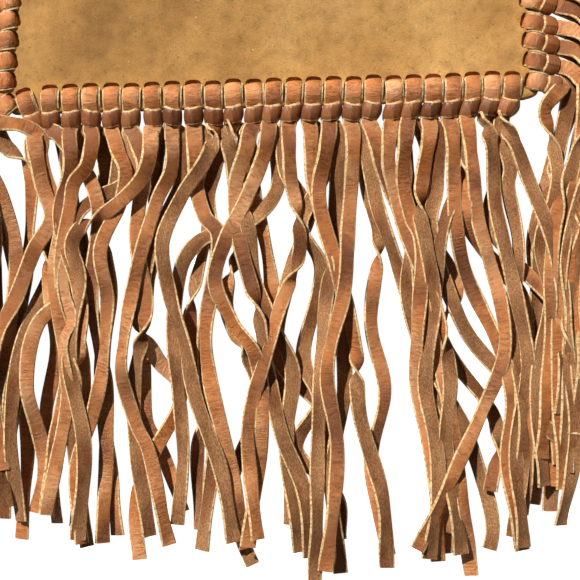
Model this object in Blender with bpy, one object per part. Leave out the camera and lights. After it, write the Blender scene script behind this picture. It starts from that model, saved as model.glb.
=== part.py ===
"""Fringed suede bag, lying on its back with its fringe spread out.

Two suede panels are held together along both sides and the bottom by leather thongs.
Each thong is one strip, folded in half and hitched through a punched hole: its fold is a
ring round its own two tails, just past the panels' edge, and the tails are the fringe.
The top edge stays open, and a shoulder strap is sewn inside the mouth.

Metres, +Z up. The origin is on the surface that the bag lies on, under the middle of the
back panel. +Y runs from the fringe to the mouth.
"""

import math

import bmesh
import bpy
from mathutils import Vector

MM = 0.001

# The body.
BODY_HEIGHT = 164 * MM
HALF_WIDTH_TOP = 129 * MM
SIDE_FLARE = 7 * MM
BOTTOM_TILT = 0.0294  # the bottom edge was cut a little askew
CORNER_RADIUS = 9 * MM
PANEL_THICKNESS = 1.8 * MM
BACK_OVERHANG = 0.5 * MM  # the back panel was cut a little larger
PUFF = 14 * MM  # how far the front panel stands off the back one in the middle
GAP = 0.3 * MM

# The thongs and their holes.
THONG_WIDTH = 7.6 * MM
THONG_THICKNESS = 1.4 * MM
HOLE_TO_EDGE = 9.5 * MM
SIDE_HOLE_TO_EDGE = 6.5 * MM
HOLE_LENGTH = 8 * MM
HOLE_BREADTH = 4.4 * MM
HOLE_CHAMFER = 1 * MM
RING_START = 10.6 * MM  # from the hole's middle, outwards
RING_END = RING_START + THONG_WIDTH
RING_HALF_WIDTH = 4.75 * MM
RING_LOW = 1 * MM
RING_HIGH = 8.4 * MM
TAIL_LENGTH = 226 * MM

# Where the thongs are.
PITCH = 9.95 * MM
BOTTOM_FIRST = -110.8 * MM
BOTTOM_COUNT = 24
SIDE_FIRST = -69.6 * MM
SIDE_COUNT = 15
BOTTOM_CORNER_HOLE = (-120.8 * MM, -77.2 * MM)
BOTTOM_CORNER_OUT = (-0.06, -1.0)
LEFT_CORNER_HOLE = (-129 * MM, -80.2 * MM)
LEFT_CORNER_OUT = (-0.7, -0.7)

# How the fringe lies.
FRINGE_FAN = 0.06  # share by which the bottom tails spread on their way down
FRINGE_SWAY = 3 * MM
LANE_FIRST = 30 * MM  # the lowest side thong's tails, out from the bottom corner
LANE_STEP = 3 * MM
LANE_LEVELS = 3  # neighbouring thongs lie at this many heights, so their lanes overlap
LEVEL_STEP = THONG_THICKNESS + GAP

# The shoulder strap.
STRAP_WIDTH = 20 * MM
STRAP_THICKNESS = 2.2 * MM
STRAP_X = 88 * MM
STRAP_SEWN = 30 * MM
STRAP_RISE = 175.5 * MM  # from the mouth to the start of the bow at its top
STRAP_BOW = 60 * MM  # radius of that bow
STRAP_RISE_STEPS = 18
STRAP_BOW_STEPS = 6

# Heights that follow from the pieces' thicknesses.
BACK_RAISE = THONG_THICKNESS + GAP
FRONT_LOW = BACK_RAISE + PANEL_THICKNESS + GAP
FRONT_HIGH = FRONT_LOW + PANEL_THICKNESS
TONGUE_LOW = FRONT_HIGH + GAP
TOP_Y = BODY_HEIGHT / 2
HEM = 13.5 * MM  # the flat border that the holes are in
BEND = 8 * MM  # how far the back panel's border takes to come down to the surface

SUEDE = ("suede", (0.45, 0.27, 0.11), 0.95)
LEATHER = ("thong_leather", (0.47, 0.19, 0.07), 0.45)
STRAP_LEATHER = ("strap_leather", (0.36, 0.17, 0.07), 0.6)

GRID_COLUMNS = (0.0, 0.22, 0.44, 0.64, 0.8, 0.91, 1.0)  # shares of the puffed half width
SIDE_SHARES = (0, 0.3, 0.55, 0.75, 0.89)  # outline points down each side
GRID_ROWS = 7  # rows from the flat border's edge up to the mouth


def side_x(y):
    """Half the body's width at y. The sides flare towards the bottom corners."""
    down = (TOP_Y - y) / BODY_HEIGHT
    return HALF_WIDTH_TOP + SIDE_FLARE * max(down, 0.0) ** 1.5


def bottom_y(x):
    return -TOP_Y + BOTTOM_TILT * x


def smooth(t):
    t = min(max(t, 0.0), 1.0)
    return t * t * (3 - 2 * t)


def puffed(x, y):
    """How far the front panel rises above its flat border, as a share of PUFF."""
    across = max(0.0, 1 - (abs(x) / (side_x(y) - HEM)) ** 4)
    return across * smooth((y - bottom_y(x) - HEM) / (0.5 * BODY_HEIGHT))


def front_height(x, y):
    return FRONT_LOW + PUFF * puffed(x, y)


def back_height(x, y):
    """The back panel lies on the surface, and its border is raised over the thongs."""
    inside = min(side_x(y) - HEM - abs(x), y - bottom_y(x) - HEM)
    return BACK_RAISE * (1 - smooth(inside / BEND))


def material(slot):
    name, colour, roughness = slot
    made = bpy.data.materials.get(name)
    if made is None:
        made = bpy.data.materials.new(name)
        made.use_nodes = True
        shader = made.node_tree.nodes["Principled BSDF"]
        shader.inputs["Base Color"].default_value = (*colour, 1)
        shader.inputs["Roughness"].default_value = roughness
        shader.inputs["Metallic"].default_value = 0
    return made


def new_object(name, shape, slot=None):
    """An object from a bmesh, which this frees."""
    bmesh.ops.recalc_face_normals(shape, faces=shape.faces)
    mesh = bpy.data.meshes.new(name)
    shape.to_mesh(mesh)
    shape.free()
    made = bpy.data.objects.new(name, mesh)
    bpy.context.scene.collection.objects.link(made)
    if slot is not None:
        mesh.materials.append(material(slot))
    return made


def apply_boolean(target, other, operation):
    """Runs one exact Boolean, keeps its result as the target's mesh and removes the other object."""
    modifier = target.modifiers.new(operation.lower(), "BOOLEAN")
    modifier.operation = operation
    modifier.object = other
    modifier.use_self = True
    bpy.context.view_layer.update()
    graph = bpy.context.evaluated_depsgraph_get()
    result = bpy.data.meshes.new_from_object(target.evaluated_get(graph))
    target.modifiers.clear()
    target.data = result
    bpy.data.objects.remove(other)


def add_prism(shape, outline, low, high):
    """Adds the closed prism over a plan outline to a bmesh."""
    base = [shape.verts.new((x, y, low)) for x, y in outline]
    top = [shape.verts.new((x, y, high)) for x, y in outline]
    shape.faces.new(base[::-1])
    shape.faces.new(top)
    for i in range(len(outline)):
        j = (i + 1) % len(outline)
        shape.faces.new((base[i], base[j], top[j], top[i]))


def add_strip(shape, path, width, thickness, rolls=None):
    """Adds a flat strip along 3-D points. A roll of 0 lies flat, and a quarter turn stands on edge."""
    rings = []
    for i, point in enumerate(path):
        ahead = path[min(i + 1, len(path) - 1)] - path[max(i - 1, 0)]
        flat = Vector((-ahead.y, ahead.x, 0)).normalized()
        up = ahead.normalized().cross(flat)
        roll = rolls[i] if rolls else 0.0
        across = flat * math.cos(roll) + up * math.sin(roll)
        normal = up * math.cos(roll) - flat * math.sin(roll)
        corners = ((-1, -1), (1, -1), (1, 1), (-1, 1))
        rings.append([
            shape.verts.new(point + across * (a * width / 2) + normal * (n * thickness / 2))
            for a, n in corners
        ])
    for first, second in zip(rings, rings[1:]):
        for i in range(4):
            j = (i + 1) % 4
            shape.faces.new((first[i], first[j], second[j], second[i]))
    shape.faces.new(rings[0][::-1])
    shape.faces.new(rings[-1])


def corner(centre_x, centre_y, start, radius=CORNER_RADIUS, points=5):
    """Points of a quarter circle, anticlockwise from the start angle in degrees."""
    angles = [math.radians(start + 90 * i / (points - 1)) for i in range(points)]
    return [(centre_x + radius * math.cos(a), centre_y + radius * math.sin(a)) for a in angles]


def body_outline(grow):
    """The panels' outline, anticlockwise from the top right, grown by a small margin."""
    rows = [TOP_Y - BODY_HEIGHT * share for share in SIDE_SHARES]
    half = side_x(-TOP_Y + 2 * CORNER_RADIUS) + grow
    left_low = bottom_y(-half) - grow + CORNER_RADIUS
    right_low = bottom_y(half) - grow + CORNER_RADIUS
    left = [(-side_x(y) - grow, y) for y in rows]
    right = [(side_x(y) + grow, y) for y in reversed(rows)]
    return (
        left
        + corner(-half + CORNER_RADIUS, left_low, 180)
        + corner(half - CORNER_RADIUS, right_low, 270)
        + right
    )


def hole_outline(hole, out):
    """A punched slot across the thong's direction, with its corners cut off."""
    out = Vector(out).normalized()
    along = Vector((-out.y, out.x))
    length, breadth = HOLE_LENGTH / 2, HOLE_BREADTH / 2
    quarter = ((length, breadth - HOLE_CHAMFER), (length - HOLE_CHAMFER, breadth))
    corners = [
        *quarter,
        *[(-a, b) for a, b in reversed(quarter)],
        *[(-a, -b) for a, b in quarter],
        *[(a, -b) for a, b in reversed(quarter)],
    ]
    return [tuple(Vector(hole) + along * a + out * b) for a, b in corners]


def grid_points():
    """Rows of plan points over a panel and a little past it, from below its bottom edge up."""
    columns = [-c for c in GRID_COLUMNS[:0:-1]] + list(GRID_COLUMNS)
    border = HEM / BODY_HEIGHT
    bent = (HEM + BEND) / BODY_HEIGHT
    shares = [-0.08, border] + [bent + (1.02 - bent) * i / GRID_ROWS for i in range(GRID_ROWS + 1)]
    rows = []
    for share in shares:
        level = -TOP_Y + BODY_HEIGHT * share
        points = [c * (side_x(level) - HEM) for c in [-1.4] + columns + [1.4]]
        rows.append([(x, bottom_y(x) * (1 - share) + TOP_Y * share) for x in points])
    return rows


def panel(name, height, grow, holes):
    """One suede panel: a bent slab, cut to the outline and punched."""
    shape = bmesh.new()
    rows = []
    for points in grid_points():
        rows.append([
            [shape.verts.new((x, y, height(x, y) + t)) for t in (0, PANEL_THICKNESS)]
            for x, y in points
        ])
    for near, far in zip(rows, rows[1:]):
        for i in range(len(near) - 1):
            for layer in (0, 1):
                shape.faces.new([v[layer] for v in (near[i], near[i + 1], far[i + 1], far[i])])
    rim = rows[0] + [r[-1] for r in rows[1:]] + rows[-1][-2::-1] + [r[0] for r in rows[-2:0:-1]]
    for i, here in enumerate(rim):
        ahead = rim[(i + 1) % len(rim)]
        shape.faces.new((here[0], ahead[0], ahead[1], here[1]))
    made = new_object(name, shape, SUEDE)
    cutter = bmesh.new()
    add_prism(cutter, body_outline(grow), -50 * MM, 100 * MM)
    apply_boolean(made, new_object("outline", cutter), "INTERSECT")
    cutter = bmesh.new()
    for hole, out in holes:
        add_prism(cutter, hole_outline(hole, out), -50 * MM, 100 * MM)
    apply_boolean(made, new_object("punch", cutter), "DIFFERENCE")
    return made


def thong(name, hole, out, tails):
    """A folded and hitched strip. tails are the two routes, from inside the ring outwards."""
    out = Vector((*out, 0)).normalized()
    side = Vector((-out.y, out.x, 0))
    at = Vector((*hole, 0))

    def block(start, end, half_width, low, high):
        plan = [at + out * a + side * b for a, b in (
            (start, -half_width), (end, -half_width), (end, half_width), (start, half_width))]
        add_prism(parts, [(p.x, p.y) for p in plan], low, high)

    parts = bmesh.new()
    half = THONG_WIDTH / 2 - 2 * GAP
    block(-THONG_THICKNESS, THONG_THICKNESS, half, 0, TONGUE_LOW + THONG_THICKNESS)
    block(-THONG_THICKNESS, RING_START + 2 * MM, half, 0, THONG_THICKNESS)
    middle = TONGUE_LOW + THONG_THICKNESS
    fall = ((-THONG_THICKNESS, middle), (HOLE_TO_EDGE + GAP, middle), (RING_END - 4 * MM, 5 * MM))
    add_strip(parts, [at + out * a + Vector((0, 0, z)) for a, z in fall],
              THONG_WIDTH, 2 * THONG_THICKNESS)
    for route in tails:
        add_strip(parts, route, THONG_WIDTH, THONG_THICKNESS)
    ring = bmesh.new()
    plan = [at + out * a + side * b for a, b in (
        (RING_START, -RING_HALF_WIDTH), (RING_END, -RING_HALF_WIDTH),
        (RING_END, RING_HALF_WIDTH), (RING_START, RING_HALF_WIDTH))]
    add_prism(ring, [(p.x, p.y) for p in plan], RING_LOW, RING_HIGH)
    made = new_object(name, ring, LEATHER)
    apply_boolean(made, new_object("strips", parts), "UNION")
    return made


def ring_middle(hole, out):
    out = Vector((*out, 0)).normalized()
    return Vector((*hole, 0)) + out * (RING_END - 3 * MM), out


def straight_tails(hole, out):
    """The two tails of a bottom thong, one on the other, fanning out down to their ends."""
    start, out = ring_middle(hole, out)
    routes = []
    for level, z in enumerate((THONG_THICKNESS / 2, THONG_THICKNESS / 2 + LEVEL_STEP)):
        exit_z = 3.2 * MM + level * LEVEL_STEP
        route = [start + Vector((0, 0, exit_z)), start + out * (3.4 * MM) + Vector((0, 0, exit_z))]
        foot = start + out * (12 * MM)
        for share in (0, 0.5, 1):
            x = foot.x * (1 + FRINGE_FAN * share) + FRINGE_SWAY * math.sin(math.pi * share)
            y = foot.y - (TAIL_LENGTH - 12 * MM) * share
            route.append(Vector((x, y, z)))
        routes.append(route)
    return routes


def side_tails(index, hole, out):
    """The two tails of a side thong. They turn down outside those of the thongs below it."""
    start, out = ring_middle(hole, out)
    side = math.copysign(1, out.x)
    lane = side * (side_x(-TOP_Y) + LANE_FIRST + LANE_STEP * index)
    turn = start + out * (4 * MM)
    radius = abs(lane - turn.x)
    base = THONG_THICKNESS / 2 + 2 * LEVEL_STEP * (index % LANE_LEVELS)
    routes = []
    for level in (0, 1):
        exit_z = 3.2 * MM + level * LEVEL_STEP
        z = base + level * LEVEL_STEP
        route = [start + Vector((0, 0, exit_z)), turn + Vector((0, 0, exit_z))]
        for angle in (30, 60, 90):
            a = math.radians(angle)
            x = turn.x + side * radius * math.sin(a)
            y = turn.y - radius * (1 - math.cos(a))
            route.append(Vector((x, y, z)))
        left = TAIL_LENGTH - 4 * MM - radius * math.pi / 2
        route.append(Vector((lane, turn.y - radius - left, z)))
        routes.append(route)
    return routes


def hitches():
    """(name, hole, outward direction, tails) of every thong."""
    found = []
    corner_tails = straight_tails(BOTTOM_CORNER_HOLE, BOTTOM_CORNER_OUT)
    found.append(("bottom_thong_01", BOTTOM_CORNER_HOLE, BOTTOM_CORNER_OUT, corner_tails))
    for i in range(BOTTOM_COUNT):
        x = BOTTOM_FIRST + PITCH * i
        hole = (x, bottom_y(x) + HOLE_TO_EDGE)
        found.append((f"bottom_thong_{i + 2:02d}", hole, (0, -1), straight_tails(hole, (0, -1))))
    corner_tails = straight_tails(LEFT_CORNER_HOLE, LEFT_CORNER_OUT)
    found.append(("left_thong_01", LEFT_CORNER_HOLE, LEFT_CORNER_OUT, corner_tails))
    for side, name, first in ((-1, "left_thong", 2), (1, "right_thong", 1)):
        for i in range(SIDE_COUNT):
            y = SIDE_FIRST + PITCH * i
            hole = (side * (side_x(y) - SIDE_HOLE_TO_EDGE), y)
            out = (side, 0)
            found.append((f"{name}_{i + first:02d}", hole, out, side_tails(i, hole, out)))
    return found


def shoulder_strap():
    """Sewn inside the mouth at both ends. It lies flat there, and turns on edge round its bow."""
    sewn = BACK_RAISE + PANEL_THICKNESS + STRAP_THICKNESS / 2
    half = [(Vector((STRAP_X, TOP_Y + y, sewn)), 0.0) for y in (-STRAP_SEWN, 3 * MM)]
    for step in range(STRAP_RISE_STEPS + 1):
        share = 0.08 + 0.92 * step / STRAP_RISE_STEPS
        roll = math.pi / 2 * smooth((share - 0.1) / 0.9)
        x = STRAP_X + (STRAP_BOW - STRAP_X) * smooth(share)
        half.append((Vector((x, TOP_Y + STRAP_RISE * share, 0)), roll))
    for i in range(1, STRAP_BOW_STEPS):
        a = math.pi / 2 * i / STRAP_BOW_STEPS
        y = TOP_Y + STRAP_RISE + STRAP_BOW * math.sin(a)
        half.append((Vector((STRAP_BOW * math.cos(a), y, 0)), math.pi / 2))
    for point, roll in half[2:]:
        point.z = (STRAP_WIDTH * math.sin(roll) + STRAP_THICKNESS * math.cos(roll)) / 2
    top = (Vector((0, TOP_Y + STRAP_RISE + STRAP_BOW, STRAP_WIDTH / 2)), math.pi / 2)
    mirrored = [(Vector((-p.x, p.y, p.z)), math.pi - roll) for p, roll in reversed(half)]
    route = half + [top] + mirrored
    shape = bmesh.new()
    add_strip(shape, [p for p, _ in route], STRAP_WIDTH, STRAP_THICKNESS, [r for _, r in route])
    bmesh.ops.triangulate(shape, faces=shape.faces)
    return new_object("shoulder_strap", shape, STRAP_LEATHER)


def main():
    for old in list(bpy.data.objects):
        bpy.data.objects.remove(old)
    made = hitches()
    holes = [(hole, out) for _, hole, out, _ in made]
    panel("front_panel", front_height, 0, holes)
    panel("back_panel", back_height, BACK_OVERHANG, holes)
    for name, hole, out, tails in made:
        thong(name, hole, out, tails)
    shoulder_strap()


main()
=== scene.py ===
"""The looks of a fringed suede bag that lies on its back with its fringe spread out.

Lengths are in metres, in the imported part's frame: +Z out of the front panel, +Y from the
fringe to the mouth. Each thong is a strip of grain leather, folded in half and hitched
through a hole: a ring past the panels' edge goes round its own two tails.
"""

import math
import random

import bmesh
import bpy
import numpy as np
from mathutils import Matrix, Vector

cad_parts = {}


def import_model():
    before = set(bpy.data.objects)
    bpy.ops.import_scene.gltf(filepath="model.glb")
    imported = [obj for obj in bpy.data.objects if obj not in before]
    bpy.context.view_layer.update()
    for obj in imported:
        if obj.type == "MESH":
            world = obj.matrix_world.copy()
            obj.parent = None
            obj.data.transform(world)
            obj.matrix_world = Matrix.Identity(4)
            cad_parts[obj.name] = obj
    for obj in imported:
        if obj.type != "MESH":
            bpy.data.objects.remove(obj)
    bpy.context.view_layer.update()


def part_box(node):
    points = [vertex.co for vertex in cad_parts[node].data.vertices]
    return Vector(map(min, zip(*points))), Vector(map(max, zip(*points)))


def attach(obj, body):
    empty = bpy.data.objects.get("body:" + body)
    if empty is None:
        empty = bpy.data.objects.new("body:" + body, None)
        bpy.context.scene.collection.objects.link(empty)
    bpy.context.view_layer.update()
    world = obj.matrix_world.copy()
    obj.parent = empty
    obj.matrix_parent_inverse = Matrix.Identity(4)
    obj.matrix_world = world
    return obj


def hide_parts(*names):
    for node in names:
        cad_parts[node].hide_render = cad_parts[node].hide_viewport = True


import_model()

MM = 0.001
UP = np.array((0.0, 0.0, 1.0))

# The body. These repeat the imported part's driving sizes.
TOP_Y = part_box("front_panel")[1][1]
BODY_HEIGHT = 2 * TOP_Y
HALF_WIDTH_TOP = 129 * MM
SIDE_FLARE = 7 * MM
BOTTOM_TILT = 0.0294
CORNER_RADIUS = 11 * MM
PANEL_THICKNESS = 1.8 * MM
HOLE_TO_EDGE = 9.5 * MM
SIDE_HOLE_TO_EDGE = 6.5 * MM
BACK_RAISE = 1.7 * MM
FRONT_LOW = 3.8 * MM
PUFF = 12 * MM
HEM = 15 * MM
GRID_STEP = 1.4 * MM
EDGE_STEPS = (0.0, 0.25, 0.6, 1.05, 1.7, 2.6)  # mm in from the edge, where the edge rounds over

# The thongs.
WIDTH = 7.6 * MM
THICKNESS = 1.6 * MM
RING_START = 9.6 * MM
RING_LENGTH = 8.6 * MM
RING_HALF = 4.15 * MM
RING_LOW = 1.3 * MM
RING_HIGH = 7.7 * MM
EXIT = RING_START + RING_LENGTH
TAIL_LENGTH = 226 * MM
STATION = 1.6 * MM

BOTTOM_COUNT = 24
BOTTOM_FIRST = -109.4 * MM
BOTTOM_PITCH = 9.97 * MM
BOTTOM_SHIFT = 1.4 * MM  # how far the middle holes are to the right of even spacing
SIDE_COUNT = 15
SIDE_FIRST = -70 * MM
SIDE_PITCH = 9.95 * MM


def smooth(t):
    t = np.clip(t, 0, 1)
    return t * t * (3 - 2 * t)


def unit(vectors):
    return vectors / np.linalg.norm(vectors, axis=1)[:, None]


def travelled(points):
    """The distance along a path, at each of its points."""
    return np.concatenate(([0], np.cumsum(np.linalg.norm(np.diff(points, axis=0), axis=1))))


def side_x(y):
    down = np.maximum((TOP_Y - y) / BODY_HEIGHT, 0)
    return HALF_WIDTH_TOP + SIDE_FLARE * down**1.5


def bottom_y(x):
    return -TOP_Y + BOTTOM_TILT * x


# ---------------------------------------------------------------- materials


class Shader:
    """A Principled material under construction, with short calls for its nodes."""

    def __init__(self, name):
        self.material = bpy.data.materials.new(name)
        self.material.use_nodes = True
        self.tree = self.material.node_tree
        self.bsdf = self.tree.nodes["Principled BSDF"]

    def node(self, kind, inputs=None, **settings):
        made = self.tree.nodes.new(kind)
        for key, value in settings.items():
            setattr(made, key, value)
        for key, value in (inputs or {}).items():
            self.feed(made.inputs[key], value)
        return made

    def feed(self, socket, value):
        if isinstance(value, bpy.types.NodeSocket):
            self.tree.links.new(value, socket)
        else:
            socket.default_value = value

    def set(self, **values):
        for key, value in values.items():
            self.feed(self.bsdf.inputs[key.replace("_", " ")], value)

    def attribute(self, name):
        return self.node("ShaderNodeAttribute", attribute_name=name).outputs["Vector"]

    def place(self):
        return self.node("ShaderNodeTexCoord").outputs["Object"]

    def scaled(self, vector, scale):
        made = self.node("ShaderNodeVectorMath", {0: vector, 1: scale}, operation="MULTIPLY")
        return made.outputs[0]

    def noise(self, vector, scale, detail=4.0, roughness=0.55):
        inputs = {"Vector": vector, "Scale": scale, "Detail": detail, "Roughness": roughness}
        return self.node("ShaderNodeTexNoise", inputs).outputs["Fac"]

    def ramp(self, factor, stops):
        made = self.node("ShaderNodeValToRGB", {"Fac": factor})
        elements = made.color_ramp.elements
        while len(elements) < len(stops):
            elements.new(0.5)
        for element, (position, value) in zip(elements, stops):
            element.position = position
            element.color = (*value, 1) if isinstance(value, tuple) else (value, value, value, 1)
        return made.outputs["Color"]

    def mix(self, factor, first, second, blend="MIX"):
        made = self.node("ShaderNodeMix", data_type="RGBA", blend_type=blend)
        self.feed(made.inputs[0], factor)
        self.feed(made.inputs[6], first)
        self.feed(made.inputs[7], second)
        return made.outputs[2]

    def bump(self, height, distance, strength=1.0, normal=None):
        inputs = {"Height": height, "Distance": distance, "Strength": strength}
        if normal is not None:
            inputs["Normal"] = normal
        return self.node("ShaderNodeBump", inputs).outputs["Normal"]


def rgb(r, g, b):
    """A colour from its 0 to 255 display values."""
    return tuple(((c / 255 + 0.055) / 1.055) ** 2.4 if c > 10 else c / 3294 for c in (r, g, b))


def suede_material():
    s = Shader("suede")
    place = s.place()
    broad = s.noise(place, 16, 3, 0.6)
    tones = ((0.34, rgb(178, 130, 72)), (0.5, rgb(207, 154, 87)), (0.66, rgb(226, 174, 105)))
    nap = s.noise(place, 150, 5, 0.7)
    fine = s.noise(place, 1500, 2, 0.7)
    colour = s.ramp(broad, tones)
    brushed = s.ramp(nap, ((0.33, 0.7), (0.5, 0.98), (0.67, 1.16)))
    colour = s.mix(0.75, colour, brushed, "MULTIPLY")
    grain = s.ramp(fine, ((0.25, 0.62), (0.55, 1.0), (0.8, 1.2)))
    colour = s.mix(0.55, colour, grain, "MULTIPLY")
    pores = s.ramp(s.noise(place, 620, 1, 0.4), ((0.27, 0.55), (0.33, 1.0)))
    colour = s.mix(0.6, colour, pores, "MULTIPLY")
    flecks = s.ramp(s.noise(place, 520, 0, 0.2), ((0.83, 0.0), (0.86, 0.8)))
    colour = s.mix(flecks, colour, (*rgb(232, 205, 150), 1))
    worn = s.attribute("worn")
    colour = s.mix(worn, colour, (*rgb(120, 84, 46), 1))
    normal = s.bump(s.noise(place, 1800, 2, 0.7), 0.00035, 0.8)
    normal = s.bump(nap, 0.0007, 0.5, normal)
    s.set(Base_Color=colour, Roughness=0.95, Normal=normal)
    s.set(Sheen_Weight=0.35, Sheen_Roughness=0.6, Sheen_Tint=(1.0, 0.82, 0.55, 1))
    s.set(Specular_IOR_Level=0.15)
    return s.material


def frayed(s, strip, start):
    """1 near the strip's edges, with a fuzzy border, else 0."""
    fuzz = s.noise(s.scaled(strip, (700, 700, 77.0)), 1, 3, 0.7)
    inputs = {0: fuzz, 1: 0.22, 2: s.attribute("beside")}
    beside = s.node("ShaderNodeMath", inputs, operation="MULTIPLY_ADD").outputs[0]
    return s.ramp(beside, ((start + 0.09, 0.0), (start + 0.15, 1.0)))


def grain_material(name, dark, middle, light, roughness, creased):
    """The smooth side of a strip: cross wrinkles, faint pebbling and slow changes of tone.

    It is brighter in the first 12 mm that the strip counts, over the panel's edge, as painted light
    on the tongues, and again from 130 mm on, as painted light on the tails' spread ends.
    """
    s = Shader(name)
    strip = s.attribute("strip")
    slow = s.noise(s.scaled(strip, (30, 22, 61.7)), 1, 3, 0.6)
    colour = s.ramp(slow, ((0.36, dark), (0.5, middle), (0.64, light)))
    wrinkle = s.noise(s.scaled(strip, (240, 800, 31.0)), 1, 5, 0.75)
    warm = s.noise(s.scaled(strip, (0, 9, 143.3)), 1, 1, 0.5)
    colour = s.mix(s.ramp(warm, ((0.48, 0.0), (0.64, 0.65))), colour, (*rgb(198, 116, 56), 1))
    brown = s.noise(s.scaled(strip, (0, 14, 91.9)), 1, 1, 0.5)
    colour = s.mix(s.ramp(brown, ((0.52, 0.0), (0.64, 0.7))), colour, (*rgb(132, 78, 46), 1))
    places = s.ramp(s.noise(s.scaled(strip, (60, 45, 53.0)), 1, 2, 0.6), ((0.42, 0.2), (0.55, 1.0)))
    shade = s.ramp(wrinkle, ((0.38, 0.55), (0.5, 1.0), (0.62, 1.25)))
    shade = s.mix(places, (1, 1, 1, 1), shade)
    colour = s.mix(creased, colour, shade, "MULTIPLY")
    scuff = s.ramp(s.noise(s.scaled(strip, (420, 160, 17.0)), 1, 5, 0.8), ((0.58, 0.0), (0.72, 0.4)))
    colour = s.mix(scuff, colour, (*rgb(226, 168, 124), 1))
    along = s.node("ShaderNodeSeparateXYZ", {0: strip}).outputs["Y"]
    # Painted light: over the panel's edge, in the first 12 mm, the strip is made about half again as
    # bright, standing for the lit tongues.
    painted_tongue_light = s.ramp(along, ((0.012, 1.0), (0.02, 0.0)))
    colour = s.mix(painted_tongue_light, colour, s.mix(1.0, colour, (1.5, 1.54, 1.64, 1), "MULTIPLY"))
    # Painted light: from 130 mm on, the strip is made up to a fifth brighter, standing for the spread,
    # well lit ends of the tails.
    worn = s.ramp(along, ((0.13, 0.0), (0.21, 1.0)))
    colour = s.mix(worn, colour, s.mix(1.0, colour, (1.14, 1.17, 1.2, 1), "MULTIPLY"))
    colour = s.mix(frayed(s, strip, 0.83), colour, (*rgb(228, 192, 142), 1))
    normal = s.bump(wrinkle, 0.0016 * creased, 0.85)
    normal = s.bump(s.noise(s.scaled(strip, (1500, 1500, 9.0)), 1, 2, 0.6), 0.00015, 0.6, normal)
    inputs = {"Value": slow, "To Min": roughness - 0.1, "To Max": roughness + 0.1}
    shine = s.node("ShaderNodeMapRange", inputs).outputs[0]
    s.set(Base_Color=colour, Roughness=shine, Normal=normal, Specular_IOR_Level=0.5)
    return s.material


def flesh_material(name, dark, light):
    """The rough side of a strip: matted fibres along it."""
    s = Shader(name)
    strip = s.attribute("strip")
    slow = s.noise(s.scaled(strip, (60, 25, 43.7)), 1, 3, 0.6)
    fibre = s.noise(s.scaled(strip, (1900, 900, 23.0)), 1, 5, 0.8)
    colour = s.ramp(slow, ((0.36, dark), (0.64, light)))
    matted = s.ramp(fibre, ((0.36, 0.4), (0.5, 0.95), (0.62, 1.5)))
    colour = s.mix(1.0, colour, matted, "MULTIPLY")
    colour = s.mix(frayed(s, strip, 0.86), colour, (*rgb(226, 188, 136), 1))
    s.set(Base_Color=colour, Roughness=0.95, Normal=s.bump(fibre, 0.0012, 0.9))
    s.set(Sheen_Weight=0.12, Sheen_Roughness=0.5, Sheen_Tint=(1.0, 0.8, 0.55, 1))
    s.set(Specular_IOR_Level=0.1)
    return s.material


def edge_material():
    """The cut edge of a strip, pale and a little fuzzy."""
    s = Shader("cut_edge")
    strip = s.attribute("strip")
    fibre = s.noise(s.scaled(strip, (900, 700, 13.0)), 1, 4, 0.7)
    tones = ((0.36, rgb(172, 124, 74)), (0.5, rgb(228, 192, 138)), (0.64, rgb(246, 226, 186)))
    s.set(Base_Color=s.ramp(fibre, tones), Roughness=0.9, Normal=s.bump(fibre, 0.0003, 0.6))
    s.set(Specular_IOR_Level=0.15)
    return s.material


def floor_material():
    """White to the camera, whatever falls on it. It adds no light to the bag."""
    s = Shader("pale_floor")
    seen = s.node("ShaderNodeLightPath").outputs["Is Camera Ray"]
    s.set(Base_Color=(0.75, 0.75, 0.75, 1), Roughness=0.9, Specular_IOR_Level=0.1)
    s.set(Emission_Color=(1, 1, 1, 1), Emission_Strength=s.ramp(seen, ((0.0, 0.0), (1.0, 1.0))))
    return s.material


SUEDE = suede_material()
GRAIN = grain_material(
    "thong_grain", rgb(142, 84, 48), rgb(203, 129, 74), rgb(236, 170, 117), roughness=0.27, creased=0.9
)
# Painted shade: the rings are the same leather as the tails. They get a darker copy of the grain,
# standing for the shade where they face away from the light.
SHADED_RING_GRAIN = grain_material(
    "ring_grain_painted_shade", rgb(112, 66, 38), rgb(148, 93, 57), rgb(178, 118, 76), roughness=0.36, creased=0.3
)
FLESH = flesh_material("thong_flesh", rgb(146, 92, 57), rgb(208, 152, 104))
EDGE = edge_material()
STRAP_GRAIN = grain_material(
    "strap_grain", rgb(140, 78, 42), rgb(170, 100, 58), rgb(190, 118, 72), roughness=0.5, creased=0.4
)
STRIP_MATERIALS = (GRAIN, EDGE, FLESH, SHADED_RING_GRAIN)
GRAIN_ZONE, EDGE_ZONE, FLESH_ZONE, SHADED_RING_ZONE = range(4)  # places in STRIP_MATERIALS


# ---------------------------------------------------------------- strips

# A strip's section, in half widths and half thicknesses, anticlockwise from its grain side.
SECTION = (
    (0.84, 1.0), (0.45, 1.0), (0.0, 1.0), (-0.45, 1.0), (-0.84, 1.0),
    (-1.0, 0.4), (-1.0, -0.4),
    (-0.84, -1.0), (0.0, -1.0), (0.84, -1.0),
    (1.0, -0.4), (1.0, 0.4),
)
ZONES = (GRAIN_ZONE,) * 4 + (EDGE_ZONE,) * 3 + (FLESH_ZONE,) * 2 + (EDGE_ZONE,) * 3
SPLINE_STEPS = 24  # from each given point of a spline to the next
SHARP_EDGE = math.radians(33)


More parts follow.
